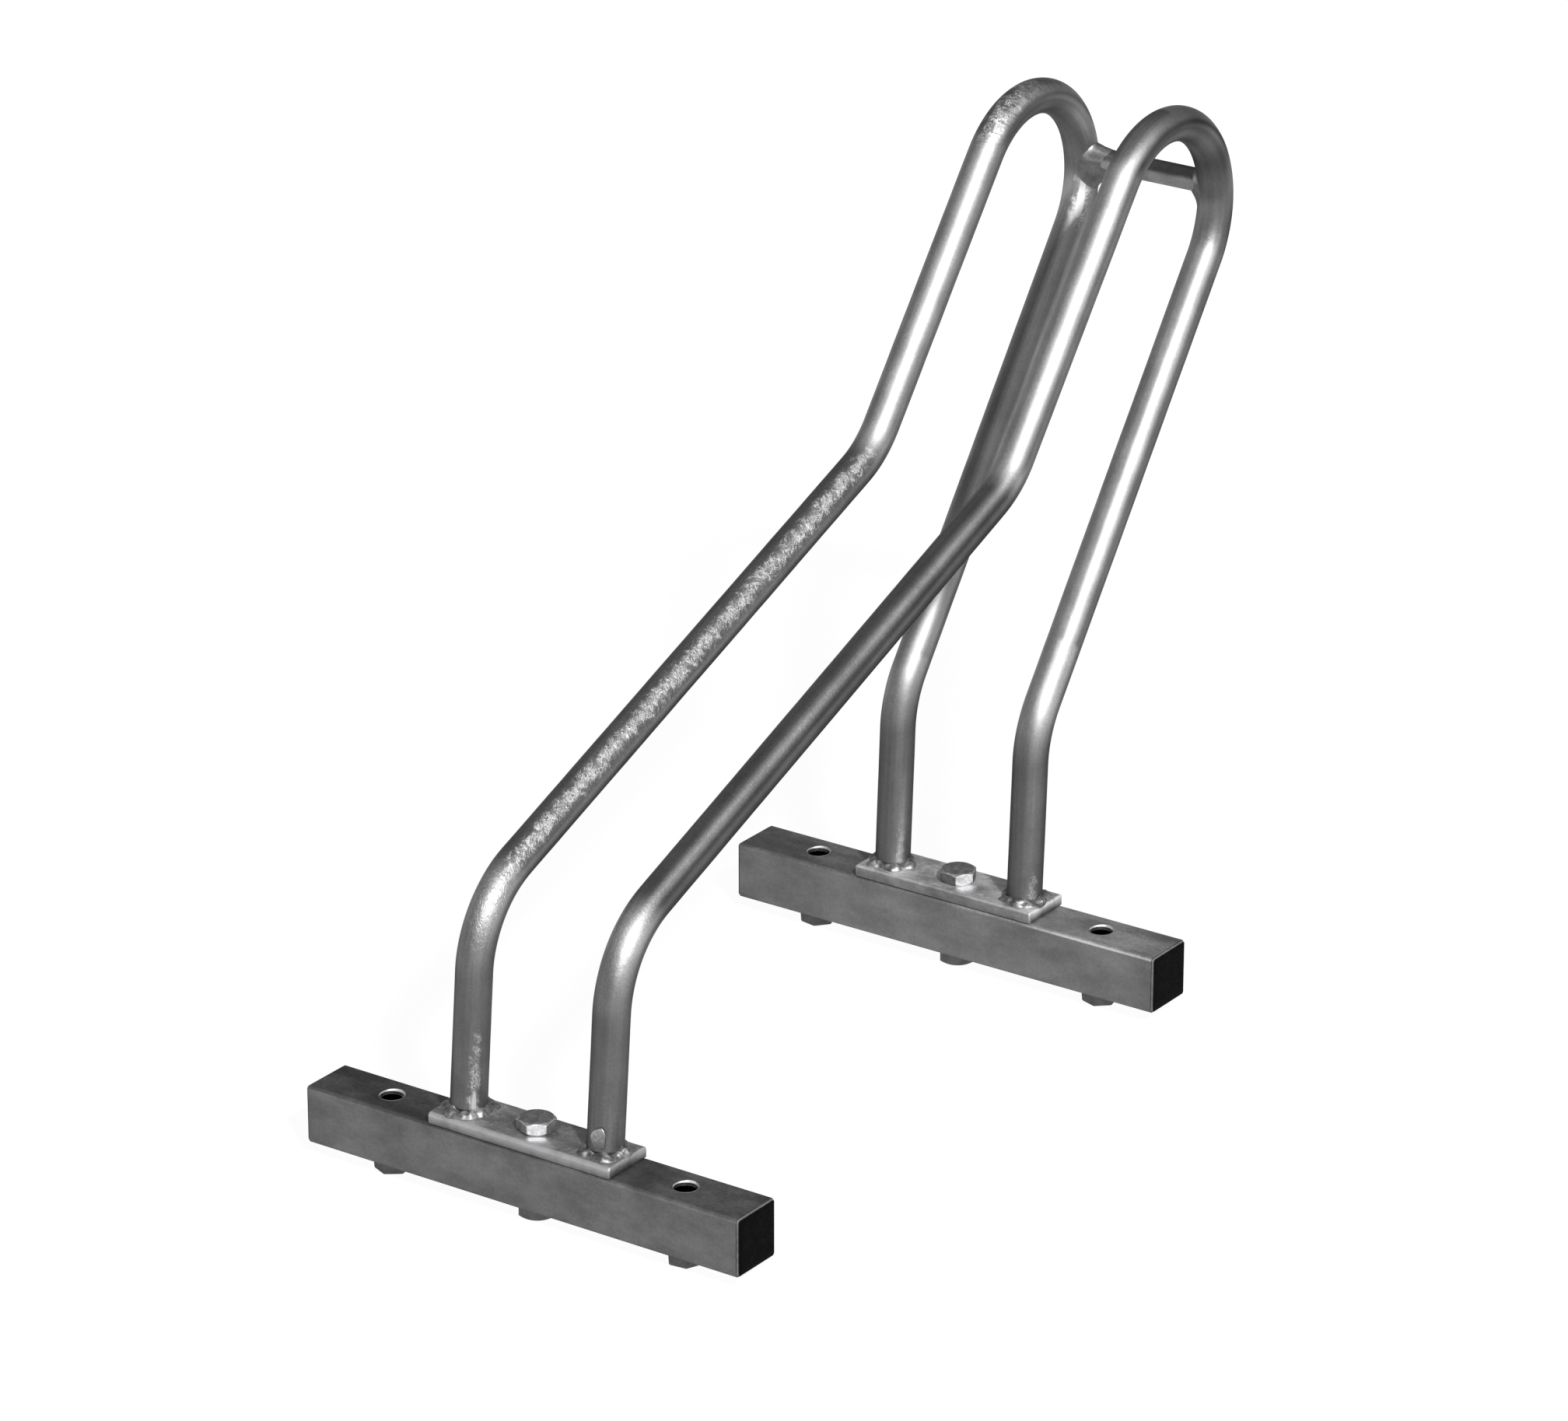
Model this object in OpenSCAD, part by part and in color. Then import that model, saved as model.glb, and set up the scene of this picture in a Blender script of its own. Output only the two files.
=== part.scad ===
// Floor bike stand for one wheel: two bent round-tube hoops, welded to plates that are
// bolted onto two square-tube base bars.
// Millimetres. X runs along the base bars, Y from the low front end to the tall rear end,
// Z is up. The origin is on the floor, in the middle of the four ground-bolt holes.

/* [Base bars] */
// Length of each base bar
bar_len = 250; // [230:1:320]
// Outside width and height of the square tube
bar_size = 30; // [28:0.5:40]
// Wall of the square tube
bar_wall = 2; // [1.5:0.1:3]
// Outside corner radius of the square tube
bar_corner_r = 2; // [1:0.1:3]
// Distance between the centrelines of the two bars
bar_spacing = 355; // [320:1:400]

/* [Ground-bolt holes and feet] */
// Distance of each ground-bolt hole from the end of its bar
hole_inset = 39; // [25:0.5:50]
// Diameter of the ground-bolt holes
hole_d = 11.5; // [9:0.5:13]
// Chamfer round the top of each ground-bolt hole
hole_chamfer = 0.6; // [0.2:0.1:1]
// Width across flats of the hexagonal feet
foot_af = 17; // [16:0.5:22]
// Height of the hexagonal feet and of the nuts between them
nut_h = 8; // [6:0.5:12]

/* [Plates] */
// Length of each plate, along the bar
plate_len = 106; // [104:1:130]
// Thickness of each plate
plate_t = 6; // [4:0.5:8]
// Radius of the plate's rounded long edges
plate_edge_r = 1.2; // [0.5:0.1:1.8]

/* [Centre bolts] */
// Thread diameter
bolt_d = 10; // [8:1:12]
// Extra diameter of the holes that a bolt passes through
bolt_play = 1; // [0.5:0.1:2]
// Width across flats of the bolt heads and the nuts
bolt_af = 17; // [15:0.5:20]
// Height of the bolt heads
bolt_head_h = 6.4; // [5:0.1:8]
// Height of the round washer face under each bolt head
bolt_face_h = 0.4; // [0.2:0.1:0.8]

/* [Hoops] */
// Outside diameter of the hoop tube
tube_d = 18; // [14:0.5:22]
// Wall of the hoop tube
tube_wall = 2; // [1.2:0.1:3]
// Distance between the centrelines of the two hoops
hoop_spacing = 80; // [70:1:84]
// Height of the tallest point of the hoops above the floor
hoop_height = 428; // [410:1:460]
// How far the hoops reach past the centreline of the rear bar
hoop_overhang = 176.5; // [160:0.5:190]
// Height above the floor of the front leg's bend, measured where its two runs would meet
front_knee_z = 144.5; // [130:0.5:160]
// Slope of the front legs, from horizontal
front_leg_angle = 85; // [82:0.5:90]
// Slope of the rear legs, from horizontal
rear_leg_angle = 87; // [84:0.5:90]
// Slope of the long shallow run behind the front leg
shallow_angle = 21.5; // [18:0.5:25]
// Slope of the steep run up to the top bend
rise_angle = 52; // [48:0.5:56]
// Slope of the steep run down from the top bend
fall_angle = 53.5; // [50:0.5:58]
// Centreline radius of the top bend
top_bend_r = 50; // [44:1:56]
// Centreline radius of the three smaller bends
side_bend_r = 54; // [40:1:60]

/* [Cross link] */
// Diameter of the round bar that joins the hoops
link_d = 12; // [8:0.5:14]
// Place of the bar on the top bend, as an angle up from its rearmost point
link_angle = 8; // [-20:1:40]

/* [End plugs] */
// Thickness of the plug's head, outside the bar
plug_head_t = 1.2; // [0.8:0.1:3]
// How far the head's edge stays inside the bar's outline
plug_head_inset = 0.6; // [0.3:0.1:1.5]
// How far the plug goes into the bar
plug_depth = 16; // [12:1:25]
// Wall of the plug's hollow stem
plug_wall = 1.6; // [1.2:0.1:2.5]
// Clearance between the plug's ribs and the inside of the bar
plug_fit = 0.2; // [0.1:0.05:0.4]
// Height of the ribs round the stem
plug_rib_h = 1.6; // [1:0.1:2]
// Thickness of the ribs
plug_rib_t = 1.2; // [0.8:0.1:2]
// Number of ribs
plug_ribs = 3; // [2:1:4]

/* [Weld beads] */
// Radius of the lumps in the beads round the legs
leg_bead_r = 3.1; // [2.5:0.1:3.8]
// Number of lumps round a leg
leg_bead_n = 11; // [9:1:14]
// Radius of the lumps in the beads round the cross link
link_bead_r = 2.4; // [2:0.1:3]
// Number of lumps round the cross link
link_bead_n = 12; // [10:1:14]

/* [Hidden] */
$fn = 48;
// Headings of the flats that the photograph shows on each bolt head and foot, about Z
front_bolt_turn = -23;
rear_bolt_turn = -5;
foot_turns = [7, 37, 20, 12];
// Chamfer of hexagon heads and nuts: its angle, and its flat circle as a share of the width
hex_chamfer_angle = 30;
hex_flat_share = 0.95;
// Play between the bolt's thread and the nut
thread_play = 0.05;
// Share of its radius by which each weld lump differs from the next
bead_unevenness = 0.12;
// How much wider the tube is in its bends, and how far the straight runs reach into them
bend_swell = 0.1;
bend_lap = 0.5;
// How far cutting shapes reach past what they cut
past = 1;

hex_sides = 6;
hole_x = bar_len / 2 - hole_inset;
bar_y = bar_spacing / 2;
bar_z = nut_h;
bar_top = bar_z + bar_size;
plate_top = bar_top + plate_t;
plate_w = bar_size;
bore_size = bar_size - 2 * bar_wall;
bore_corner_r = max(bar_corner_r - bar_wall, 0.4);
bolt_hole_d = bolt_d + bolt_play;
hoop_x = hoop_spacing / 2;
tube_r = tube_d / 2;
stem_size = bore_size - 2 * plug_fit - 2 * plug_rib_h;

// Points and directions of the hoop's centreline, as [y, z] and degrees from +Y
function heading(a) = [cos(a), sin(a)];
function meet(p, a, q, b) = p + heading(a) * cross(q - p, heading(b)) / cross(heading(a), heading(b));
front_foot = [-bar_y, plate_top];
rear_foot = [bar_y, plate_top];
top_centre = [bar_y + hoop_overhang - tube_r - top_bend_r, hoop_height - tube_r - top_bend_r];
rise_end = top_centre + top_bend_r * heading(rise_angle + 90);
fall_start = top_centre + top_bend_r * heading(fall_angle - 90);
front_knee = front_foot + heading(front_leg_angle) * (front_knee_z - plate_top) / sin(front_leg_angle);
waist = meet(front_knee, shallow_angle, rise_end, rise_angle);
rear_knee = meet(rear_foot, rear_leg_angle, fall_start, fall_angle);
link_centre = top_centre + top_bend_r * heading(link_angle);

// Shared shapes

// A square with round corners, centred
module round_square(w, h, r) {
    square([w - 2 * r, h], center = true);
    square([w, h - 2 * r], center = true);
    for (x = [-1, 1], y = [-1, 1])
        translate([x * (w / 2 - r), y * (h / 2 - r)]) circle(r = r);
}

// Extrudes along X an outline drawn across (Y) and up (Z), centred on the origin
module along_x(length) {
    rotate([90, 0, 90]) linear_extrude(height = length, center = true) children();
}

// A hexagon head or nut standing on the XY plane, chamfered at its top
module hexagon(af, h) {
    flat_r = hex_flat_share * af / 2;
    intersection() {
        cylinder(d = af / cos(30), h = h, $fn = hex_sides);
        cylinder(r1 = flat_r + h / tan(hex_chamfer_angle), r2 = flat_r, h = h);
    }
}

// The same, chamfered at both ends
module hexagon_both(af, h) {
    intersection() {
        hexagon(af, h);
        translate([0, 0, h]) mirror([0, 0, 1]) hexagon(af, h);
    }
}

// The cross-section of a round bar, or of a tube when it has a bore
module section(d, bore) {
    difference() {
        circle(d = d);
        if (bore > 0)
            circle(d = bore);
    }
}

// A straight run between two [y, z] points, lapping into the bends at both ends
module run(p, q, d, bore = 0) {
    along = q - p;
    translate([0, p.x, p.y])
        rotate([atan2(along.y, along.x) - 90, 0, 0])
            translate([0, 0, -bend_lap])
                linear_extrude(height = norm(along) + 2 * bend_lap) section(d, bore);
}

// A bend about a [y, z] centre, between two angles from +Y
module bend(centre, r, from, to, d, bore = 0) {
    translate([0, centre.x, centre.y])
        rotate([90, 0, 90])
            rotate([0, 0, from])
                rotate_extrude(angle = to - from)
                    translate([r, 0]) section(d + bend_swell, bore - bend_swell);
}

// How far before and after a corner its bend begins and ends
function bend_reach(a_in, a_out, r) = r * tan(abs(a_out - a_in) / 2);

// The bend that rounds a corner of the centreline
module corner_bend(corner, a_in, a_out, r, d, bore = 0) {
    side = sign(a_out - a_in);
    start = corner - heading(a_in) * bend_reach(a_in, a_out, r);
    centre = start + heading(a_in + side * 90) * r;
    bend(centre, r, min(a_in, a_out) - side * 90, max(a_in, a_out) - side * 90, d, bore);
}

// The whole hoop, with legs that run past the plates: solid, or a tube when it has a bore
module hoop_core(d, bore = 0) {
    front_up = heading(front_leg_angle);
    shallow = heading(shallow_angle);
    rise = heading(rise_angle);
    fall = heading(fall_angle);
    rear_up = heading(rear_leg_angle);
    knee_reach = bend_reach(front_leg_angle, shallow_angle, side_bend_r);
    waist_reach = bend_reach(shallow_angle, rise_angle, side_bend_r);
    rear_reach = bend_reach(rear_leg_angle, fall_angle, side_bend_r);
    run(front_foot - front_up * tube_r, front_knee - front_up * knee_reach, d, bore);
    corner_bend(front_knee, front_leg_angle, shallow_angle, side_bend_r, d, bore);
    run(front_knee + shallow * knee_reach, waist - shallow * waist_reach, d, bore);
    corner_bend(waist, shallow_angle, rise_angle, side_bend_r, d, bore);
    run(waist + rise * waist_reach, rise_end, d, bore);
    bend(top_centre, top_bend_r, fall_angle - 90, rise_angle + 90, d, bore);
    run(rear_knee + fall * rear_reach, fall_start, d, bore);
    corner_bend(rear_knee, rear_leg_angle, fall_angle, side_bend_r, d, bore);
    run(rear_foot - rear_up * tube_r, rear_knee - rear_up * rear_reach, d, bore);
}

// Everything below the plates' top faces, round one hoop
module below_plates() {
    translate([-tube_d, -bar_spacing, plate_top - 2 * tube_d])
        cube([2 * tube_d, 2 * bar_spacing, 2 * tube_d]);
}

// Base bars

module base_bar(y) {
    translate([0, y, bar_z + bar_size / 2])
        difference() {
            along_x(bar_len) round_square(bar_size, bar_size, bar_corner_r);
            along_x(bar_len + 2 * past) round_square(bore_size, bore_size, bore_corner_r);
            for (x = [-hole_x, hole_x]) {
                translate([x, 0, 0]) cylinder(d = hole_d, h = bar_size + 2 * past, center = true);
                translate([x, 0, bar_size / 2 - hole_chamfer])
                    cylinder(d1 = hole_d, d2 = hole_d + 4 * hole_chamfer, h = 2 * hole_chamfer);
            }
            cylinder(d = bolt_hole_d, h = bar_size + 2 * past, center = true);
        }
}

module front_base_bar() {
    color([0.42, 0.42, 0.43]) base_bar(-bar_y);
}

module rear_base_bar() {
    color([0.42, 0.42, 0.43]) base_bar(bar_y);
}

// End plugs: a head over the bar's end, and a hollow ribbed stem inside it

module end_plug(side, y) {
    head_size = bar_size - 2 * plug_head_inset;
    head_corner_r = bar_corner_r - plug_head_inset;
    rib_size = bore_size - 2 * plug_fit;
    rib_pitch = (plug_depth - plug_rib_t) / plug_ribs;
    color([0.05, 0.05, 0.05])
        translate([side * bar_len / 2, y, bar_z + bar_size / 2])
            rotate([0, 0, side > 0 ? 0 : 180]) {
                translate([plug_head_t / 2, 0, 0])
                    along_x(plug_head_t) round_square(head_size, head_size, head_corner_r);
                difference() {
                    union() {
                        translate([-plug_depth / 2, 0, 0])
                            along_x(plug_depth) square(stem_size, center = true);
                        for (i = [1 : plug_ribs])
                            translate([-i * rib_pitch, 0, 0])
                                along_x(plug_rib_t) round_square(rib_size, rib_size, bore_corner_r);
                    }
                    translate([-plug_depth / 2 - past, 0, 0])
                        along_x(plug_depth) square(stem_size - 2 * plug_wall, center = true);
                }
            }
}

module front_left_end_plug() {
    end_plug(-1, -bar_y);
}

module front_right_end_plug() {
    end_plug(1, -bar_y);
}

module rear_left_end_plug() {
    end_plug(-1, bar_y);
}

module rear_right_end_plug() {
    end_plug(1, bar_y);
}

// Feet: hexagons welded under the ground-bolt holes, bored through

module foot(side, y, turn) {
    color([0.4, 0.4, 0.41])
        translate([side * hole_x, y, 0])
            difference() {
                rotate([0, 0, turn]) hexagon_both(foot_af, nut_h);
                translate([0, 0, -past]) cylinder(d = hole_d, h = nut_h + 2 * past);
            }
}

module front_left_foot() {
    foot(-1, -bar_y, foot_turns[0]);
}

module front_right_foot() {
    foot(1, -bar_y, foot_turns[1]);
}

module rear_left_foot() {
    foot(-1, bar_y, foot_turns[2]);
}

module rear_right_foot() {
    foot(1, bar_y, foot_turns[3]);
}

// Plates between the bars and the legs

module plate(y) {
    color([0.6, 0.6, 0.61])
        translate([0, y, bar_top + plate_t / 2])
            difference() {
                along_x(plate_len) round_square(plate_w, plate_t, plate_edge_r);
                cylinder(d = bolt_hole_d, h = plate_t + 2 * past, center = true);
            }
}

module front_plate() {
    plate(-bar_y);
}

module rear_plate() {
    plate(bar_y);
}

// Centre bolts and their nuts. A bolt ends level with its nut, clear of the floor

module centre_bolt(y, turn) {
    shank_len = plate_top;
    color([0.66, 0.66, 0.67])
        translate([0, y, 0]) {
            cylinder(d = bolt_d, h = shank_len);
            translate([0, 0, plate_top]) cylinder(d = hex_flat_share * bolt_af, h = bolt_face_h);
            translate([0, 0, plate_top + bolt_face_h])
                rotate([0, 0, turn]) hexagon(bolt_af, bolt_head_h - bolt_face_h);
        }
}

module centre_nut(y) {
    color([0.4, 0.4, 0.41])
        translate([0, y, 0])
            difference() {
                hexagon_both(bolt_af, nut_h);
                translate([0, 0, -past]) cylinder(d = bolt_d + 2 * thread_play, h = nut_h + 2 * past);
            }
}

module front_bolt() {
    centre_bolt(-bar_y, front_bolt_turn);
}

module rear_bolt() {
    centre_bolt(bar_y, rear_bolt_turn);
}

module front_nut() {
    centre_nut(-bar_y);
}

module rear_nut() {
    centre_nut(bar_y);
}

// Hoops: one bent tube each, cut level where it stands on the plates

module hoop(x) {
    color([0.58, 0.58, 0.59])
        translate([x, 0, 0])
            difference() {
                hoop_core(tube_d, tube_d - 2 * tube_wall);
                below_plates();
            }
}

module left_hoop() {
    hoop(-hoop_x);
}

module right_hoop() {
    hoop(hoop_x);
}

// Cross link: a round bar coped to both hoops

module link_bar() {
    translate([0, link_centre.x, link_centre.y])
        rotate([0, 90, 0]) cylinder(d = link_d, h = hoop_spacing, center = true);
}

module cross_link() {
    color([0.5, 0.5, 0.51])
        difference() {
            link_bar();
            for (x = [-hoop_x, hoop_x])
                translate([x, 0, 0]) hoop_core(tube_d);
        }
}

// Weld beads: a ring of overlapping lumps, cut away where the welded pieces are

function lump_r(r, i) = r * (1 + bead_unevenness * sin(150 * i));

module leg_weld(x, foot) {
    color([0.62, 0.62, 0.63])
        translate([x, 0, 0])
            difference() {
                for (i = [0 : leg_bead_n - 1]) {
                    a = 360 * i / leg_bead_n;
                    r = lump_r(leg_bead_r, i);
                    reach = tube_r + leg_bead_r * 0.25;
                    translate([reach * cos(a), foot.x + reach * sin(a), foot.y + leg_bead_r * 0.3])
                        sphere(r = r);
                }
                hoop_core(tube_d);
                below_plates();
            }
}

module front_left_leg_weld() {
    leg_weld(-hoop_x, front_foot);
}

module front_right_leg_weld() {
    leg_weld(hoop_x, front_foot);
}

module rear_left_leg_weld() {
    leg_weld(-hoop_x, rear_foot);
}

module rear_right_leg_weld() {
    leg_weld(hoop_x, rear_foot);
}

module link_weld() {
    reach = link_d / 2 + link_bead_r * 0.25;
    color([0.62, 0.62, 0.63])
        difference() {
            for (i = [0 : link_bead_n - 1]) {
                a = 360 * i / link_bead_n;
                tube_surface = sqrt(pow(tube_r, 2) - pow(reach * cos(a - link_angle), 2));
                bead = link_centre + reach * heading(a);
                translate([hoop_x - tube_surface, bead.x, bead.y]) sphere(r = lump_r(link_bead_r, i));
            }
            link_bar();
            translate([hoop_x, 0, 0]) hoop_core(tube_d);
        }
}

module link_left_weld() {
    mirror([1, 0, 0]) link_weld();
}

module link_right_weld() {
    link_weld();
}

front_base_bar();
rear_base_bar();
front_left_end_plug();
front_right_end_plug();
rear_left_end_plug();
rear_right_end_plug();
front_left_foot();
front_right_foot();
rear_left_foot();
rear_right_foot();
front_plate();
rear_plate();
front_bolt();
rear_bolt();
front_nut();
rear_nut();
left_hoop();
right_hoop();
cross_link();
front_left_leg_weld();
front_right_leg_weld();
rear_left_leg_weld();
rear_right_leg_weld();
link_left_weld();
link_right_weld();
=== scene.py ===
# Floor bike stand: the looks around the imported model. Sizes are in millimetres unless a heading says metres.
import math

import bpy
import numpy as np
from mathutils import Matrix, Vector, noise


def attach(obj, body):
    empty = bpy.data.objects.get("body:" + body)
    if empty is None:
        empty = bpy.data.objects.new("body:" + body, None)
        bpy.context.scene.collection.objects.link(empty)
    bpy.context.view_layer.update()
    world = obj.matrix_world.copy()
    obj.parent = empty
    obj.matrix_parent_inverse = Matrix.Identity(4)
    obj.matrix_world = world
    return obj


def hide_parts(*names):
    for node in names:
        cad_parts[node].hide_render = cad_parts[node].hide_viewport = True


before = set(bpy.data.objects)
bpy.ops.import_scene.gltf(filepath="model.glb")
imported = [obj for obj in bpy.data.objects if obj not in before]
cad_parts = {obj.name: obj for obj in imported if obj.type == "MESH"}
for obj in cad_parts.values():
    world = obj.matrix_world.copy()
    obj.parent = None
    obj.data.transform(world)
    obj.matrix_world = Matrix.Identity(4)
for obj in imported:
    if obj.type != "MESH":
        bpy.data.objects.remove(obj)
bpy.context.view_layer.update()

MM = 0.001

# Sizes in millimetres, as in the part's source
BAR_LEN = 250.0
BAR_SIZE = 30.0
BAR_Y = 177.5
BAR_Z = 8.0
BAR_TOP = 38.0
HOLE_X = 86.0
HOLE_R = 5.75
PLATE_LEN = 106.0
PLATE_W = 30.0
PLATE_TOP = 44.0
BOLT_AF = 17.0
BOLT_D = 10.0
BOLT_HEAD_H = 6.4
BOLT_FACE_H = 0.4
FRONT_BOLT_TURN = -23
REAR_BOLT_TURN = -5
HOOP_X = 40.0
TUBE_R = 9.0
TOP_BEND_R = 50.0
SIDE_BEND_R = 54.0
FRONT_KNEE_Z = 144.5
LINK_R = 6.0
LINK_ANGLE = 8
PLUG_T = 1.2
PLUG_INSET = 0.6
PLUG_DEPTH = 16.0
FOOT_AF = 17.0
FOOT_TURNS = {("front", -1): 7, ("front", 1): 37, ("rear", -1): 20, ("rear", 1): 12}

# Sun: degrees round from the front towards +X and up, degrees across, and strength
SUN_AZIMUTH = 53.0
SUN_ELEVATION = 39.8
SUN_SIZE = 4.0
SUN_ENERGY = 4.0

# Camera, in degrees, millimetres of film and lens, and metres
CAMERA_AZIMUTH = 35.069
CAMERA_ELEVATION = 22.366
CAMERA_AT = (1.86206, -2.62826, 1.52152)
FILM_WIDTH = 36.0
LENS = 166.92


def heading(degrees):
    """The unit vector at an angle, as (cosine, sine)."""
    a = math.radians(degrees)
    return np.array([math.cos(a), math.sin(a)])


def cross2(a, b):
    return a[0] * b[1] - a[1] * b[0]


def meet(p, a, q, b):
    """Where the line from p with heading a crosses the line from q with heading b."""
    return p + heading(a) * cross2(q - p, heading(b)) / cross2(heading(a), heading(b))


# Hoop centreline in the YZ plane: its points, and the headings of its runs
FRONT_FOOT = np.array([-BAR_Y, PLATE_TOP])
REAR_FOOT = np.array([BAR_Y, PLATE_TOP])
FRONT_ANGLE, SHALLOW, RISE, FALL, REAR_ANGLE = 85.0, 21.5, 52.0, 53.5, 87.0
TOP_CENTRE = np.array([295.0, 369.0])
RISE_END = TOP_CENTRE + TOP_BEND_R * heading(RISE + 90)
FALL_START = TOP_CENTRE + TOP_BEND_R * heading(FALL - 90)
FRONT_LEG = (FRONT_KNEE_Z - PLATE_TOP) / math.sin(math.radians(FRONT_ANGLE))
FRONT_KNEE = FRONT_FOOT + heading(FRONT_ANGLE) * FRONT_LEG
WAIST = meet(FRONT_KNEE, SHALLOW, RISE_END, RISE)
REAR_KNEE = meet(REAR_FOOT, REAR_ANGLE, FALL_START, FALL)
LINK_CENTRE = TOP_CENTRE + TOP_BEND_R * heading(LINK_ANGLE)


def wobble(point, scale, seed):
    """Smooth noise from -1 to 1 at a point, with features of about the scale."""
    x, y, z = point
    return noise.noise(Vector((x / scale + seed, y / scale - seed, z / scale + 2 * seed)))


def hoop_path():
    """Rings along the hoop: centre [y, z] and heading in degrees."""
    rings = []
    step, step_angle = 2.5, 2

    def reach(a, b):
        return SIDE_BEND_R * math.tan(math.radians(abs(b - a)) / 2)

    def straight(p, q, angle):
        n = max(2, int(np.linalg.norm(q - p) / step))
        for i in range(n):
            rings.append((p + (q - p) * i / n, angle))

    def bend(knee, a, b):
        side = 1 if b > a else -1
        centre = knee - heading(a) * reach(a, b) + SIDE_BEND_R * side * heading(a + 90)
        n = max(6, int(abs(b - a) / step_angle))
        for i in range(n):
            angle = a + (b - a) * i / n
            rings.append((centre - SIDE_BEND_R * side * heading(angle + 90), angle))

    straight(FRONT_FOOT, FRONT_KNEE - heading(FRONT_ANGLE) * reach(FRONT_ANGLE, SHALLOW), FRONT_ANGLE)
    bend(FRONT_KNEE, FRONT_ANGLE, SHALLOW)
    straight(FRONT_KNEE + heading(SHALLOW) * reach(FRONT_ANGLE, SHALLOW),
             WAIST - heading(SHALLOW) * reach(SHALLOW, RISE), SHALLOW)
    bend(WAIST, SHALLOW, RISE)
    straight(WAIST + heading(RISE) * reach(SHALLOW, RISE), RISE_END, RISE)
    turn = RISE + 180 - FALL
    n = int(turn / step_angle)
    for i in range(n):
        angle = RISE - turn * i / n
        rings.append((TOP_CENTRE + TOP_BEND_R * heading(angle + 90), angle))
    down = FALL - 180
    straight(FALL_START, REAR_KNEE + heading(FALL) * reach(FALL, REAR_ANGLE), down)
    bend(REAR_KNEE, down, REAR_ANGLE - 180)
    straight(REAR_KNEE - heading(REAR_ANGLE) * reach(FALL, REAR_ANGLE), REAR_FOOT, REAR_ANGLE - 180)
    rings.append((REAR_FOOT, REAR_ANGLE - 180))
    return rings


HOOP_PATH = hoop_path()


# Node trees

def new_material(name):
    material = bpy.data.materials.new(name)
    material.use_nodes = True
    tree = material.node_tree
    tree.nodes.clear()
    out = tree.nodes.new("ShaderNodeOutputMaterial")
    shader = tree.nodes.new("ShaderNodeBsdfPrincipled")
    tree.links.new(shader.outputs[0], out.inputs[0])
    return material, tree, shader


def put(tree, socket, value):
    """Sets a socket's value, or links it to an output."""
    if isinstance(value, bpy.types.NodeSocket):
        tree.links.new(value, socket)
    else:
        socket.default_value = value


def noise_texture(tree, vector, **values):
    """A noise texture's output from 0 to 1. The values go to the inputs of the same names."""
    n = tree.nodes.new("ShaderNodeTexNoise")
    tree.links.new(vector, n.inputs["Vector"])
    for key, value in values.items():
        n.inputs[key.title()].default_value = value
    return n.outputs[0]


def math_node(tree, operation, a, b=0.0):
    n = tree.nodes.new("ShaderNodeMath")
    n.operation = operation
    put(tree, n.inputs[0], a)
    put(tree, n.inputs[1], b)
    return n.outputs[0]


def plus(tree, a, b):
    return math_node(tree, "ADD", a, b)


def times(tree, a, b):
    return math_node(tree, "MULTIPLY", a, b)


def larger(tree, a, b):
    return math_node(tree, "MAXIMUM", a, b)


def spread(tree, value, low, high, to_low=0.0, to_high=1.0):
    """Maps low..high to to_low..to_high, smoothly and held at the ends."""
    n = tree.nodes.new("ShaderNodeMapRange")
    n.interpolation_type = "SMOOTHSTEP"
    for i, v in enumerate((value, low, high, to_low, to_high)):
        put(tree, n.inputs[i], v)
    return n.outputs[0]


def blend_colour(tree, factor, a, b, mode="MIX"):
    """Colour a, going to b as the factor goes to 1, or another blend of the two."""
    n = tree.nodes.new("ShaderNodeMix")
    n.data_type = "RGBA"
    n.blend_type = mode
    put(tree, n.inputs[0], factor)
    put(tree, n.inputs[6], a)
    put(tree, n.inputs[7], b)
    return n.outputs[2]


def stretched(tree, vector, scale, turn=(0, 0, 0)):
    """The vector turned and scaled, so that a texture on it has drawn-out features."""
    n = tree.nodes.new("ShaderNodeMapping")
    n.vector_type = "TEXTURE"
    put(tree, n.inputs["Vector"], vector)
    n.inputs["Rotation"].default_value = [math.radians(t) for t in turn]
    n.inputs["Scale"].default_value = scale
    return n.outputs[0]


def grey(value):
    return (value, value, value * 1.01, 1.0)


def bumps(tree, parts):
    """Chains bump nodes: each part is (height, strength, distance in millimetres)."""
    last = None
    for height, strength, distance in parts:
        n = tree.nodes.new("ShaderNodeBump")
        put(tree, n.inputs["Height"], height)
        put(tree, n.inputs["Strength"], strength)
        n.inputs["Distance"].default_value = distance * MM
        if last:
            tree.links.new(last, n.inputs["Normal"])
        last = n.outputs[0]
    return last


def object_coords(tree):
    return tree.nodes.new("ShaderNodeTexCoord").outputs["Object"]


def attribute(tree, name, output):
    n = tree.nodes.new("ShaderNodeAttribute")
    n.attribute_name = name
    return n.outputs[output]


def tinted(tree, colour, shade):
    return blend_colour(tree, 1.0, colour, shade, "MULTIPLY")


def split(tree, vector):
    """The X, Y and Z outputs of a vector."""
    xyz = tree.nodes.new("ShaderNodeSeparateXYZ")
    tree.links.new(vector, xyz.inputs[0])
    return xyz.outputs


def facing_up(tree):
    """0 where the surface faces down and 1 where it faces up."""
    normal = tree.nodes.new("ShaderNodeNewGeometry").outputs["Normal"]
    return spread(tree, split(tree, normal)[2], -1.0, 1.0)


def x_ramp(tree, at, low, high, to_low, to_high):
    """A value that changes along X between two places in millimetres."""
    return spread(tree, split(tree, at)[0], low * MM, high * MM, to_low, to_high)


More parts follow.
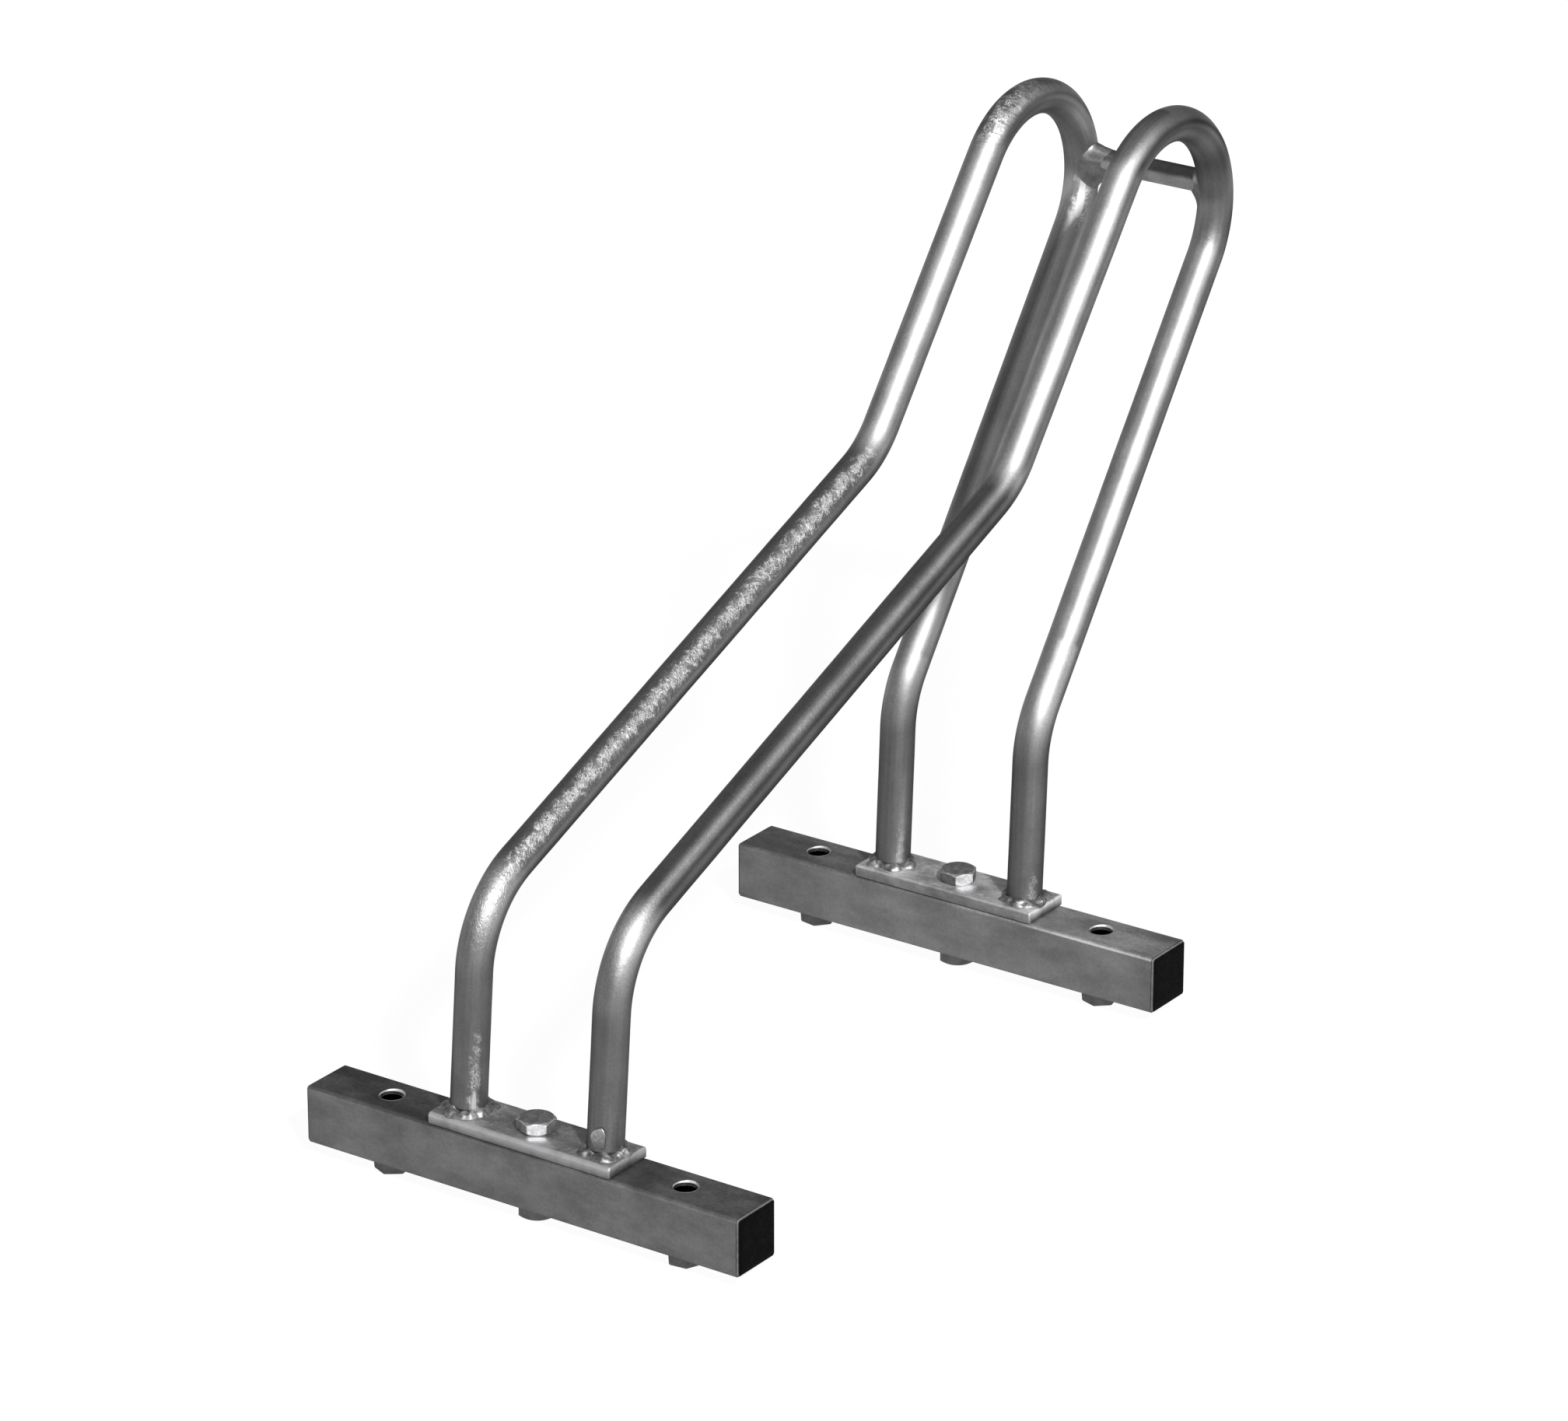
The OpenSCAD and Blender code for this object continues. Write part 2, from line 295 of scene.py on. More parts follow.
def zinc(name, dark, light, rough, under=0.7, over=(1.0, 1.0), over_from=(0.6, 1.0), ends=1.0, corner=0.0,
         cloud_size=14.0, drawn=1.0, grain=0.05, lump=0.1, painted_edge_highlight=False, shaded=False):
    """Galvanised steel: cloudy, finely grained and slightly uneven, with sizes in millimetres.

    drawn is how much longer its clouds are along X. under is painted shade: it darkens what faces down. over
    paints light on what faces up where it is above 1 and shade where it is below, at the left and at the
    right, and ends changes what is near a bar's ends. corner is a painted highlight on the rounded top edges
    to the right. With the edge highlight on, the attribute "edge" adds a painted highlight and makes it
    rougher, and with shaded the attribute "shade" adds painted light and shade."""
    material, tree, shader = new_material(name)
    at = object_coords(tree)
    long_way = stretched(tree, at, (drawn, 1.0, 1.0))
    fine = 1 / (cloud_size * MM)
    clouds = noise_texture(tree, long_way, scale=fine, detail=6.0, roughness=0.62)
    stains = noise_texture(tree, long_way, scale=0.4 * fine, detail=3.0, distortion=0.8)
    grains = noise_texture(tree, at, scale=650.0, detail=4.0, roughness=0.7)
    lumps = noise_texture(tree, at, scale=160.0, detail=2.0)
    colour = blend_colour(tree, spread(tree, clouds, 0.3, 0.7), grey(dark), grey(light))
    colour = tinted(tree, colour, spread(tree, stains, 0.35, 0.65, 0.88, 1.06))
    colour = tinted(tree, colour, spread(tree, grains, 0.35, 0.65, 0.9, 1.08))
    up = facing_up(tree)
    # Painted shade: what faces down is darkened by under
    colour = tinted(tree, colour, spread(tree, up, 0.42, 0.68, under, 1.0))
    # Painted light on what faces up where over is above 1, painted shade where it is below
    if over != (1.0, 1.0):
        top = x_ramp(tree, at, -40, 40, *over)
        colour = tinted(tree, colour, spread(tree, up, *over_from, 1.0, top))
    # Painted highlight along the rounded top edges towards +X
    if corner:
        rounding = times(tree, spread(tree, up, 0.56, 0.7), spread(tree, up, 0.86, 0.98, 1.0, 0.0))
        lighter = times(tree, rounding, x_ramp(tree, at, 40, 62, 0.15 * corner, corner))
        colour = tinted(tree, colour, plus(tree, lighter, 1.0))
    if ends != 1.0:
        colour = tinted(tree, colour, x_ramp(tree, at, -124, -106, ends, 1.0))
        colour = tinted(tree, colour, x_ramp(tree, at, 104, 124, 1.0, ends))
    mixed = plus(tree, times(tree, grains, 0.5), times(tree, clouds, 0.5))
    roughness = spread(tree, mixed, 0.35, 0.65, *rough)
    # Painted highlight where the attribute "edge" is set, patchy with the clouds, and rougher there
    if painted_edge_highlight:
        edge = attribute(tree, "edge", "Fac")
        edge_highlight_patches = times(tree, edge, spread(tree, clouds, 0.25, 0.55, 0.6, 1.0))
        colour = blend_colour(tree, edge_highlight_patches, colour, grey(0.6))
        roughness = plus(tree, roughness, times(tree, edge_highlight_patches, 0.15))
    # Painted light and shade from the attribute "shade"
    if shaded:
        colour = tinted(tree, colour, attribute(tree, "shade", "Fac"))
    put(tree, shader.inputs["Base Color"], colour)
    shader.inputs["Metallic"].default_value = 1.0
    shader.inputs["Specular Tint"].default_value = grey(0.45)
    put(tree, shader.inputs["Roughness"], roughness)
    normal = bumps(tree, [(lumps, 1.0, lump), (grains, 1.0, grain)])
    put(tree, shader.inputs["Normal"], normal)
    return material


def hoop_zinc(name, dark, light):
    """The hoops' skin. Attributes say where it is bumpy ("skin"), where it has worn zinc and painted
    highlights (in curly strokes up to 1 and all over above it), where it is scratched across ("scratched"),
    and its painted light and shade ("shade")."""
    material, tree, shader = new_material(name)
    at = object_coords(tree)
    along = attribute(tree, "along", "Vector")
    skin = attribute(tree, "skin", "Fac")
    wear_and_painted_highlight = attribute(tree, "wear_and_painted_highlight", "Fac")
    clouds = noise_texture(tree, at, scale=45.0, detail=5.0, roughness=0.6)
    grains = noise_texture(tree, at, scale=1100.0, detail=3.0, roughness=0.6)
    drawn = stretched(tree, along, (0.08, 0.002, 0.08))
    lines = noise_texture(tree, drawn, scale=1.0, detail=3.0, roughness=0.6)
    oblique = stretched(tree, along, (0.0036, 0.0021, 0.003), (0, 0, 38))
    strokes = noise_texture(tree, oblique, scale=1.0, detail=3.0, roughness=0.6, distortion=1.8)
    patches = noise_texture(tree, at, scale=170.0, detail=4.0, roughness=0.6, distortion=0.8)
    across = stretched(tree, along, (0.0007, 0.006, 0.003), (0, 0, 14))
    scratches = noise_texture(tree, across, scale=1.0, detail=3.0, roughness=0.6, distortion=0.5)
    pimples = tree.nodes.new("ShaderNodeTexVoronoi")
    tree.links.new(at, pimples.inputs["Vector"])
    pimples.inputs["Scale"].default_value = 110.0
    spots = spread(tree, pimples.outputs["Distance"], 0.03, 0.13, 1.0, 0.0)

    colour = blend_colour(tree, spread(tree, clouds, 0.3, 0.7), grey(dark), grey(light))
    colour = tinted(tree, colour, spread(tree, lines, 0.3, 0.7, 0.9, 1.08))
    colour = tinted(tree, colour, spread(tree, grains, 0.35, 0.65, 0.92, 1.07))
    # Painted light and shade from the attribute "shade"
    colour = tinted(tree, colour, attribute(tree, "shade", "Fac"))
    # Worn zinc and painted highlight: near-white curly strokes where marked, solid white where the mark passes
    # 1
    curl = math_node(tree, "SUBTRACT", strokes, 0.5)
    wisps = spread(tree, math_node(tree, "ABSOLUTE", curl), 0.0, 0.06, 1.0, 0.0)
    wisps = larger(tree, wisps, spread(tree, strokes, 0.52, 0.66))
    wisps = times(tree, wisps, spread(tree, patches, 0.36, 0.56, 0.3, 1.0))
    wisps = larger(tree, wisps, spread(tree, wear_and_painted_highlight, 0.95, 1.2))
    ragged = times(tree, math_node(tree, "SUBTRACT", patches, 0.5), 2.6)
    ragged = plus(tree, wear_and_painted_highlight, plus(tree, ragged, times(tree, curl, 0.9)))
    area = times(tree, spread(tree, ragged, 0.05, 0.95), spread(tree, wear_and_painted_highlight, 0.03, 0.25))
    wear_and_highlight_streak = times(tree, area, spread(tree, wisps, 0.0, 1.0, 0.05, 1.0))
    colour = blend_colour(tree, wear_and_highlight_streak, colour, grey(0.98))
    marks = spread(tree, scratches, 0.52, 0.62, 0.0, 0.85)
    scratched = times(tree, attribute(tree, "scratched", "Fac"), marks)
    colour = blend_colour(tree, scratched, colour, grey(0.16))
    # Painted shade: what faces down is darker
    colour = tinted(tree, colour, spread(tree, facing_up(tree), 0.42, 0.68, 0.36, 1.0))
    put(tree, shader.inputs["Base Color"], colour)
    shader.inputs["Metallic"].default_value = 1.0
    shader.inputs["Specular Tint"].default_value = grey(0.4)
    shader.inputs["Anisotropic"].default_value = 0.36
    put(tree, shader.inputs["Tangent"], attribute(tree, "around", "Vector"))
    roughness = spread(tree, grains, 0.3, 0.7, 0.49, 0.54)
    roughness = plus(tree, roughness, times(tree, wear_and_highlight_streak, 0.15))
    put(tree, shader.inputs["Roughness"], roughness)
    normal = bumps(tree, [
        (patches, skin, 0.4),
        (strokes, skin, 0.45),
        (spots, 0.5, 0.06),
        (grains, 1.0, 0.022),
    ])
    put(tree, shader.inputs["Normal"], normal)
    return material


def plastic(name):
    """Black moulded plastic with a fine grain, and a painted grey highlight round the edge of its head."""
    material, tree, shader = new_material(name)
    at = object_coords(tree)
    fine = noise_texture(tree, at, scale=900.0, detail=3.0)
    scuffs = noise_texture(tree, at, scale=140.0, detail=5.0, roughness=0.7)
    colour = blend_colour(tree, spread(tree, scuffs, 0.45, 0.75), grey(0.002), grey(0.005))
    # Painted highlight: grey round the head's edge where the attribute "rim" is set, patchy with noise
    rim = attribute(tree, "rim", "Fac")
    painted_rim_highlight = times(tree, rim, spread(tree, scuffs, 0.3, 0.6, 0.6, 1.0))
    colour = blend_colour(tree, painted_rim_highlight, colour, grey(0.22))
    put(tree, shader.inputs["Base Color"], colour)
    put(tree, shader.inputs["Roughness"], spread(tree, fine, 0.35, 0.65, 0.5, 0.66))
    shader.inputs["Specular IOR Level"].default_value = 0.02
    put(tree, shader.inputs["Normal"], bumps(tree, [(fine, 1.0, 0.02)]))
    return material


# Each zinc() material darkens what faces down by its under value, as painted shade
HOOP = hoop_zinc("hoop_zinc", 0.38, 0.47)
# Cross link: painted shade on its upper side
LINK = zinc("link_zinc", 0.3, 0.42, rough=(0.5, 0.56), under=0.78, over=(0.55, 0.55),
            over_from=(0.6, 0.86), lump=0.05)
# Bars: painted light on their tops, growing to the right (the front bar's a little darker at the left), and a
# painted highlight on the rounded top edges. The rear bar is the same zinc painted lighter
FRONT_BAR = zinc("front_bar_zinc", 0.165, 0.265, rough=(0.5, 0.6), under=0.8, over=(0.95, 1.3),
                 corner=0.3, cloud_size=16.0, drawn=1.8, grain=0.02, lump=0.04)
REAR_BAR = zinc("rear_bar_zinc", 0.2, 0.3, rough=(0.5, 0.6), under=0.8, over=(1.35, 2.3), ends=0.8,
                corner=1.4, cloud_size=16.0, drawn=2.2, grain=0.02, lump=0.04)
# Plates: painted light on their tops, painted highlights on their edges, painted light and shade from "shade"
PLATE = zinc("plate_zinc", 0.18, 0.3, rough=(0.5, 0.62), under=0.8, over=(2.2, 2.2), cloud_size=8.0,
             drawn=1.5, grain=0.03, lump=0.06, painted_edge_highlight=True, shaded=True)
WELD = zinc("weld_zinc", 0.2, 0.48, rough=(0.48, 0.6), under=0.4, cloud_size=3.5, lump=0.2)
LINK_WELD = zinc("link_weld_zinc", 0.34, 0.5, rough=(0.42, 0.5), under=0.4, cloud_size=6.0, grain=0.03)
# Hole rims: near-white zinc as a painted highlight in the hole's wall, darkened on the raised ring by "shade"
RIM = zinc("rim_zinc", 0.8, 0.98, rough=(0.66, 0.76), under=1.0, cloud_size=4.0, grain=0.04, shaded=True)
# Bolt heads: near-white zinc with a painted highlight on one flat, painted shade on the other flats and the
# top
FASTENER = zinc("fastener_zinc", 0.62, 0.98, rough=(0.64, 0.74), over=(0.36, 0.36), cloud_size=3.0,
                grain=0.03, lump=0.05, shaded=True)
FOOT = zinc("foot_zinc", 0.13, 0.22, rough=(0.5, 0.62), cloud_size=7.0, grain=0.04, lump=0.08)
PLUG = plastic("plug_plastic")


# Meshes

def piece(name, verts, faces, material, stands_for, attributes=None):
    """A piece from vertices in millimetres, which stands for CAD nodes."""
    mesh = bpy.data.meshes.new(name)
    mesh.from_pydata([(v[0] * MM, v[1] * MM, v[2] * MM) for v in verts], [], faces)
    for key, values in (attributes or {}).items():
        vector = len(np.shape(values)) == 2
        layer = mesh.attributes.new(key, "FLOAT_VECTOR" if vector else "FLOAT", "POINT")
        layer.data.foreach_set("vector" if vector else "value", np.asarray(values, dtype=float).ravel())
    for polygon in mesh.polygons:
        polygon.use_smooth = True
    mesh.materials.append(material)
    obj = bpy.data.objects.new(name, mesh)
    bpy.context.scene.collection.objects.link(obj)
    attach(obj, "root")
    if stands_for:
        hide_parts(*stands_for)
    return obj


def sharpen(obj, angle=35):
    """Keeps edges sharper than the angle crisp while the rest shades smoothly."""
    obj.data.set_sharp_from_angle(angle=math.radians(angle))


def ring_angles(count, turn=0.0):
    return [2 * math.pi * j / count + math.radians(turn) for j in range(count)]


def flipped(faces):
    return [tuple(reversed(face)) for face in faces]


def grid_faces(rows, columns, start=0):
    """Quads between rings of vertices."""
    faces = []
    for i in range(rows - 1):
        for j in range(columns):
            k = (j + 1) % columns
            a = start + i * columns
            b = a + columns
            faces.append((a + j, a + k, b + k, b + j))
    return faces


def capped_faces(rows, columns):
    """Quads between rings of vertices, and a flat face at each end."""
    last = (rows - 1) * columns
    ends = [tuple(reversed(range(columns))), tuple(range(last, last + columns))]
    return grid_faces(rows, columns) + ends


def profile_faces(around, rows, closed=False):
    """Quads between profiles of vertices that stand side by side round a ring."""
    faces = []
    for j in range(around):
        k = (j + 1) % around
        for i in range(rows if closed else rows - 1):
            n = (i + 1) % rows
            faces.append((j * rows + i, j * rows + n, k * rows + n, k * rows + i))
    return faces


def bead_faces(around, rows):
    """Quads between profiles round a ring, and a face over the inner and over the outer edge."""
    inner = tuple(j * rows for j in reversed(range(around)))
    outer = tuple(j * rows + rows - 1 for j in range(around))
    return profile_faces(around, rows) + [inner, outer]


def hump(value, centre, width):
    return math.exp(-((value - centre) / width) ** 2)


def ramp(value, low, high):
    t = min(1.0, max(0.0, (value - low) / (high - low)))
    return t * t * (3 - 2 * t)


def on_shallow_run(angle):
    """1 on the hoops' shallow run, falling to 0 as they bend away from it."""
    return max(0.0, 1 - max(0.0, abs(angle - SHALLOW) - 3) / 14)


def hoop_painted_light(left, front, z, angle, turn):
    """Painted light and shade at a place on a hoop, as a factor on the zinc: highlight bands and light lines
    where the tubes catch the light, dark lines and darker legs elsewhere. angle is the hoop's heading there,
    and turn is degrees round the tube, from +X towards the outside of the bends."""
    shade = 1.0
    # Front leg and shallow run: painted highlight bands on the lit side, painted shade round the rest and on
    # the leg
    if front and z < 300:
        if left:
            lit = 0.5 + 0.55 * hump(turn, 50, 16) + 0.55 * hump(turn, -3, 10)
        else:
            lit = 0.34 + 0.94 * hump(turn, 50, 15) - 0.12 * hump(turn, 26, 9)
            lit += 0.32 * hump(turn, -5, 14) + 0.2 * ramp(turn, 80, 115)
        leg = 0.47 + 0.26 * (1 - ramp(turn, 20, 85))
        shade += on_shallow_run(angle) * (lit - 1) + ramp(angle, 45, 80) * (leg - 1)
    # Rear leg: painted shade with a lighter painted highlight strip, brighter near the left leg's foot
    if not front and z < 170:
        leg = 0.42 + 0.38 * hump(turn, -38, 32)
        if left:
            leg += 0.55 * hump(turn, -29, 12) * (1 - ramp(z, 60, 115))
        shade += ramp(angle, -124, -97) * (leg - 1)
    # Steep rise: a painted dark line beside the highlight and a painted light line
    if front and z > 200:
        straight = ramp(angle, 34, 50)
        shade -= straight * (0.24 if left else 0.55) * hump(turn, 17, 11)
        shade += straight * 0.35 * hump(turn, -14, 10)
    # Fall behind the top bend: painted dark lines on the right hoop; on the left hoop painted shade low down
    # and a painted light ridge with a dark line higher up
    falling = ramp(-angle, 100, 124)
    if not front and not left and z > 170:
        shade -= falling * (0.5 * hump(turn, -14, 12) + 0.4 * hump(turn, -73, 9))
    if not front and left and z > 150:
        high = ramp(z, 205, 222)
        shade -= falling * (1 - high) * 0.31 * hump(turn, -35, 38)
        shade += falling * high * (0.75 * hump(turn, -59, 16) - 0.28 * hump(turn, -90, 12))
    # Top bend: painted dark and light lines along the arch and painted shade on its outside, a painted
    # highlight where the left hoop starts to fall and painted shade on the right hoop's fall
    if z > 300 and -124 < angle < 50:
        over_top = ramp(angle, -75, -50) * (1 - ramp(angle, 38, 50))
        dark_line = hump(turn, 12 + 0.3 * max(0.0, -angle), 15)
        light_line = hump(turn, 38, 12) * (hump(angle, 18, 26) if left else hump(angle, 26, 17))
        shade -= over_top * (0.58 if left else 0.74) * dark_line
        shade += over_top * (0.95 if left else 0.6) * light_line
        shade += over_top * 0.3 * hump(turn, -20, 12) * ramp(angle, -30, 0)
        outside = ramp(turn, 50, 72) * ramp(angle, 0, 15 if left else 1)
        shade *= 1 - over_top * 0.42 * outside
        if left:
            shade += 1.7 * hump(angle, -52, 20) * hump(turn, -19, 15)
        else:
            shade *= 1 - 0.42 * hump(angle, -20, 16) * hump(turn, 18, 34)
            shade *= (1 - 0.42 * hump(angle, -60, 14)) * (1 - 0.45 * hump(angle, -103, 14))
    return max(0.15, shade)


def hoop_looks(left, front, z, angle, turn):
    """The skin at a place on a hoop: how bumpy it is, its worn zinc and painted highlights, how scratched it
    is, and its painted light and shade.
    """
    bumpy, wear_and_painted_highlight, scratched = 0.0, 0.0, 0.0
    # Shallow run, with painted highlight strokes along its lit upper side on the left hoop
    if front and 100 < z < 272:
        bumpy = (0.6 if left else 0.22) * ramp(z, 100, 140) * (1 - ramp(z, 262, 272))
        if left:
            wear_and_painted_highlight = on_shallow_run(angle) * hump(turn, 50, 24)
    # Feet of the legs: painted highlight columns up their lit side, solid white painted glints low on the left
    # front leg
    if front and z < 125:
        column = hump(turn, 38, 15) * (1 - ramp(z, 62, 98))
        painted_glint = 0.4 * (1 - ramp(z, 50, 60))
        wear_and_painted_highlight = max(wear_and_painted_highlight, column * (0.95 + painted_glint if left else 0.1))
        bumpy = max(bumpy, 0.5 * column if left else 0.05)
    if not front and z < 130:
        column = hump(turn, -31, 13) * (1 - ramp(z, 50, 84 if left else 66))
        wear_and_painted_highlight = column * 0.75
        bumpy = max(0.05, 0.5 * column)
    # Top of the left hoop: a worn, scratched patch with painted highlight; on its inner side below the cross
    # link, a painted highlight glare
    if left and z > 385 and angle > -35:
        patch = (1 - ramp(angle, 40, 54)) * ramp(angle, -8, 14)
        wear_and_painted_highlight = patch * hump(turn, 72, 36) * 0.8
        bumpy = 0.35 * patch
        scratched = hump(turn, 70, 50) * (1 - ramp(angle, 46, 54)) * ramp(angle, -35, -10)
    if left and not front and 330 < z < 400 and angle < -90:
        patch = ramp(z, 334, 348) * (1 - ramp(z, 388, 398))
        wear_and_painted_highlight = patch * (hump(turn, -54, 26) + 0.6 * hump(turn, -50, 15) * hump(z, 351, 15))
        bumpy = 0.6 * patch * ramp(z, 350, 372)
    return bumpy, wear_and_painted_highlight, scratched, hoop_painted_light(left, front, z, angle, turn)


def make_hoop(name, side, node):
    """A bent tube along the hoop's path, very slightly uneven, with its looks as attributes of its skin."""
    around, front_share, uneven = 64, 0.6, 0.05
    x = side * HOOP_X
    steps = [0.0]
    for (a, _), (b, _) in zip(HOOP_PATH, HOOP_PATH[1:]):
        steps.append(steps[-1] + float(np.linalg.norm(b - a)))
    verts, looks, along, round_tube = [], [], [], []
    for (centre, angle), distance in zip(HOOP_PATH, steps):
        out = heading(angle + 90)
        front = distance < steps[-1] * front_share
        for phi in ring_angles(around):
            c, s = math.cos(phi), math.sin(phi)
            skin = (x + TUBE_R * c, centre[0] + TUBE_R * s * out[0], centre[1] + TUBE_R * s * out[1])
            r = TUBE_R + uneven * wobble(skin, 14, 3.1 + side)
            verts.append((x + r * c, centre[0] + r * s * out[0], centre[1] + r * s * out[1]))
            turn = math.degrees(phi)
            turn = turn - 360 if turn > 230 else turn
            looks.append(hoop_looks(side < 0, front, centre[1], angle, turn))
            half_turn = (phi if phi < math.pi else 2 * math.pi - phi) * TUBE_R
            along.append((distance * MM, half_turn * MM, side * 0.5))
            round_tube.append((-s, c * out[0], c * out[1]))
    faces = capped_faces(len(HOOP_PATH), around)
    attributes = dict(zip(("skin", "wear_and_painted_highlight", "scratched", "shade"), zip(*looks)))
    attributes.update(along=along, around=round_tube)
    return piece(name, verts, faces, HOOP, [node], attributes)


def leg_weld(name, x, y, lean, seed, reach, node):
    """A lumpy fillet between a leg and its plate. lean is the leg's y shift for each mm up."""
    around, across = 160, 14
    overlap, plate_rim, height = 0.3, 0.7, 3.4
    verts = []
    for phi in ring_angles(around):
        c, s = math.cos(phi), math.sin(phi)
        spot = (12 * c, 12 * s, seed * 7.0)
        beads = 0.5 + 0.5 * wobble(spot, 4.5, seed) + 0.25 * wobble(spot, 2, seed + 1)
        room = (PLATE_W / 2 - plate_rim) / max(abs(s), 0.01) - TUBE_R
        wide = reach * (0.66 + 0.3 * beads + 0.75 * wobble(spot, 8, seed + 5))
        wide = max(1.6, min(wide, room))
        tall = max(1.2, height * (0.76 + 0.25 * beads + 0.7 * wobble(spot, 7, seed + 9)))
        for i in range(across + 1):
            t = i / across
            r = TUBE_R - overlap + (wide + overlap) * t ** 0.8
            h = tall * (1 - t) ** 0.72 - 0.05
            crown = math.sin(math.pi * t)
            place = (r * c, r * s, h)
            lump = crown * wobble(place, 3.2, seed) + 0.3 * crown * wobble(place, 1.3, seed)
            swell = 0.7 * (0.4 * crown * (0.3 + 0.8 * beads) + lump)
            r += swell
            h += swell * (1 - t)
            verts.append((x + r * c, y + lean * h + r * s, PLATE_TOP + max(h, -0.05)))
    return piece(name, verts, bead_faces(around, across + 1), WELD, [node])


def link_weld(name, side, seed, node, width, length, run):
    """The weld between the cross link and a hoop, following the tube it lands on. width is its reach on the
    tube and length its reach along the link; run draws it down the tube."""
    around, across = 96, 10
    overlap, run_angle = 0.2, 82

    def tube_face(y, z):
        d = abs(math.hypot(y - TOP_CENTRE[0], z - TOP_CENTRE[1]) - TOP_BEND_R)
        return HOOP_X - math.sqrt(max(TUBE_R ** 2 - d ** 2, 1.0))

    verts = []
    for phi in ring_angles(around):
        c, s = math.cos(phi), math.sin(phi)
        spot = (8 * c, 8 * s, seed * 5.0)
        down = max(0.0, math.cos(phi + math.radians(run_angle))) ** 2
        wide = width * (0.9 + 0.3 * wobble(spot, 9, seed + 2) + run * 2.4 * down)
        long = length * (0.9 + 0.25 * wobble(spot, 9, seed + 4) + run * 0.5 * down)
        for i in range(across + 1):
            t = i / across
            r = LINK_R - overlap + (wide + overlap) * t
            off = long * (1 - t) ** 1.9 - 0.15
            r += 0.22 * math.sin(math.pi * t) * wobble((r * c, r * s, off), 3, seed)
            y, z = LINK_CENTRE[0] + r * c, LINK_CENTRE[1] + r * s
            verts.append((side * (tube_face(y, z) - off), y, z))
    faces = bead_faces(around, across + 1)
    faces = faces if side < 0 else flipped(faces)
    return piece(name, verts, faces, LINK_WELD, [node])


def hexagon_radius(af, phi):
    """How far a hexagon's edge is from its centre, with its corners cut back a little."""
    corner_cut = 0.2
    folded = (phi + math.pi / 6) % (math.pi / 3) - math.pi / 6
    return min(af / 2 / math.cos(folded), af / 2 / math.cos(math.pi / 6) - corner_cut)


def make_bolt(name, y, turn, node):
    """Hexagon head with its corners cut by a 30 degree cone, washer face, and shank down to the end under the
    nut. The flat turned towards the sun has a painted highlight, the other flats painted shade, and the cone
    round the top painted light."""
    around, slope = 144, math.tan(math.radians(30))
    low, high = PLATE_TOP + BOLT_FACE_H, PLATE_TOP + BOLT_HEAD_H
    flat_r, face_r, shank_r = 0.95 * BOLT_AF / 2, 0.94 * BOLT_AF / 2, BOLT_D / 2
    turn += 30

    def disc(r, z):
        return [(r * math.cos(a), y + r * math.sin(a), z) for a in ring_angles(around, turn)]

    def hexagon(share, z, drop=-1):
        row = []
        for phi, a in zip(ring_angles(around), ring_angles(around, turn)):
            r = flat_r + (hexagon_radius(BOLT_AF, phi) - flat_r) * share
            row.append((r * math.cos(a), y + r * math.sin(a), z + drop * (r - flat_r) * slope))
        return row

    rows = [disc(0.5, high), disc(flat_r * 0.6, high), disc(flat_r - 0.3, high)]
    top_rows = len(rows)
    rows += [hexagon(share, high - 0.05) for share in (0.05, 0.4, 0.8)]
    rows += [hexagon(0.97, high - 0.12)]
    cone_rows = len(rows)
    rows += [hexagon(1.0, high - 0.35), hexagon(1.0, high - 0.8)]
    rows += [hexagon(1.0, low + 0.8, 1), hexagon(1.0, low, 1)]
    rows += [disc(face_r, low), disc(face_r, PLATE_TOP + 0.02), disc(shank_r, PLATE_TOP + 0.01)]
    rows += [disc(shank_r, 1.0), disc(shank_r - 1.0, 0.05), disc(0.5, 0.05)]

    # Painted shade on the flats, darker on the rear bolt, and a painted highlight on the flat turned towards
    # the sun
    painted_flat_shade = 0.42 if y < 0 else 0.28
    shade = [1.0] * top_rows * around + [1.3] * (cone_rows - top_rows) * around
    for _ in rows[cone_rows:]:
        for j in range(around):
            facet = round((360 * j / around) / 60) * 60 + turn
            painted_flat_highlight = ramp(math.cos(math.radians(facet + 44)), 0.75, 0.97)
            shade.append(painted_flat_shade + (1 - painted_flat_shade) * painted_flat_highlight)
    verts = [v for row in rows for v in row]
    faces = flipped(capped_faces(len(rows), around))
    obj = piece(name, verts, faces, FASTENER, [node], {"shade": shade})
    sharpen(obj)
    return obj


def make_foot(name, x, y, turn, node):
    """Hexagon nut that hardly narrows downwards, with its edges lightly rounded and a through hole."""
    around = 144
    angles = ring_angles(around, turn)

    def hexagon(share, z):
        reach = [share * hexagon_radius(FOOT_AF, phi) for phi in ring_angles(around)]
        return [(x + r * math.cos(a), y + r * math.sin(a), z) for r, a in zip(reach, angles)]

    def bore(z):
        return [(x + HOLE_R * math.cos(a), y + HOLE_R * math.sin(a), z) for a in angles]

    rows = [bore(BAR_Z - 0.01), hexagon(0.97, BAR_Z - 0.01), hexagon(0.995, BAR_Z - 0.2)]
    rows += [hexagon(0.995, BAR_Z - 1.0), hexagon(0.95, 1.0), hexagon(0.945, 0.5)]
    rows += [hexagon(0.91, 0.06), hexagon(0.86, 0.01), bore(0.01)]
    verts = [v for row in rows for v in row]
    last = len(verts) - around
    faces = flipped(grid_faces(len(rows), around))
    faces += [(last + (j + 1) % around, last + j, j, (j + 1) % around) for j in range(around)]
    obj = piece(name, verts, faces, FOOT, [node])
    sharpen(obj)
    return obj


